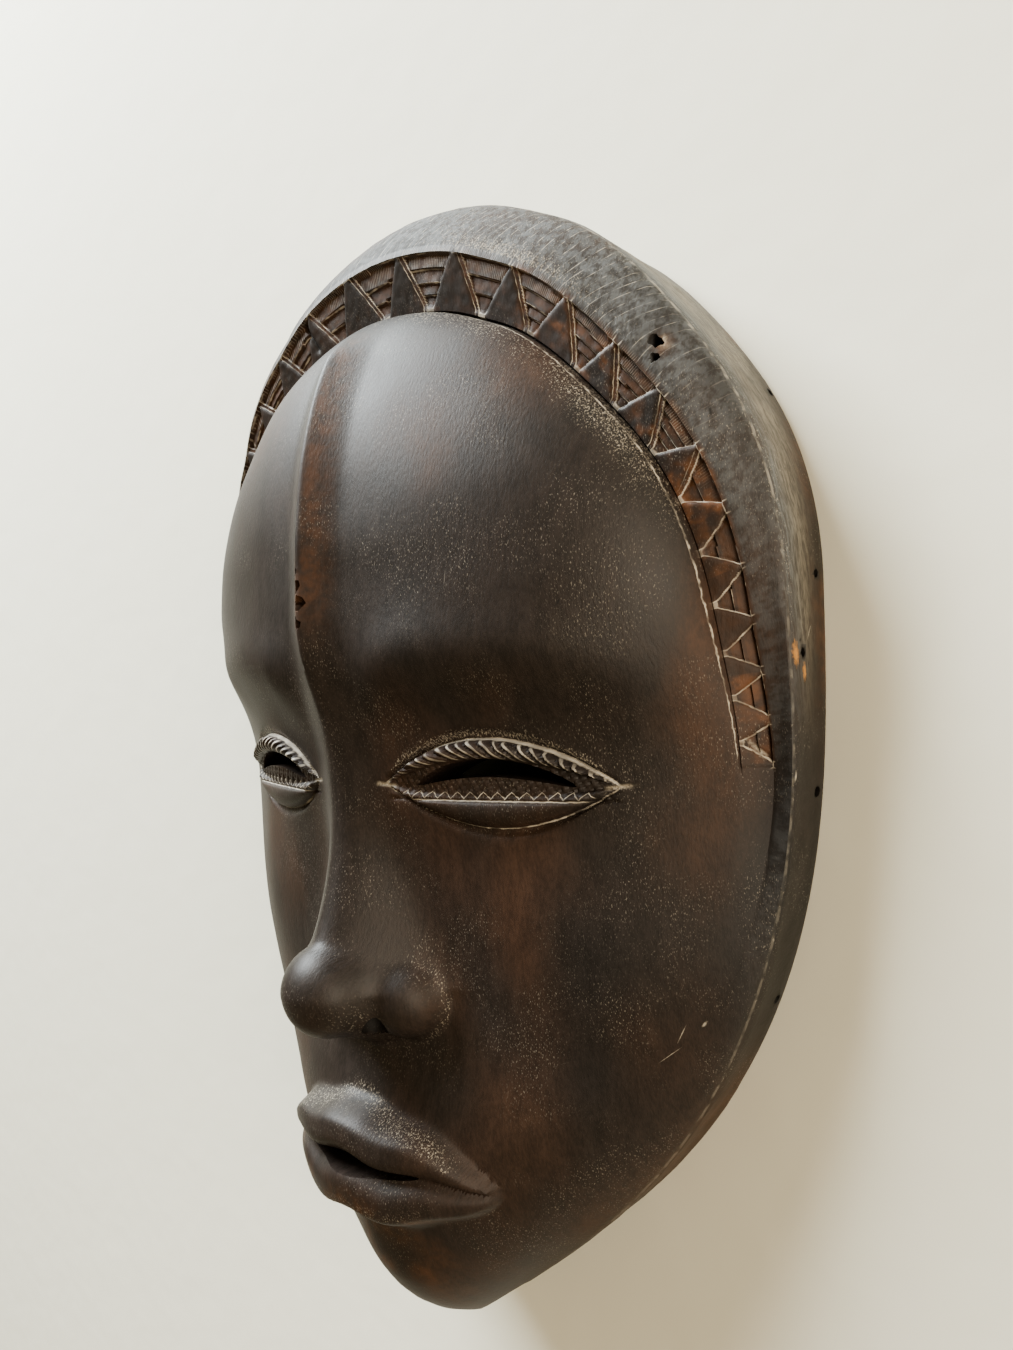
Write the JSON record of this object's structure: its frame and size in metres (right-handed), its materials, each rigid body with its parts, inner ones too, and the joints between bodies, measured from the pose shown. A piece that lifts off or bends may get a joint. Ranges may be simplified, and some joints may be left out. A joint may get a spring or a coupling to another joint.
{
  "type": "carved wooden face mask",
  "caption": "Dark carved wooden face mask, hollow behind, with domed ridged forehead, slit eyes, parted lips and a hatched triangle border; lies on its back rim.",
  "frame": {"origin": "middle of the outline's rectangle, on the plane of the back rim", "axes": "+Z out of the face, +Y towards the crown, +X to the right of someone who looks at the face"},
  "size_m": [0.165, 0.25, 0.0661],
  "materials": {
    "dark_wood": "dark stained and polished, worn brown on the high places, pale dust in the cuts"
  },
  "bodies": {
    "root": {"mask": "dark_wood"}
  },
  "joints": []
}
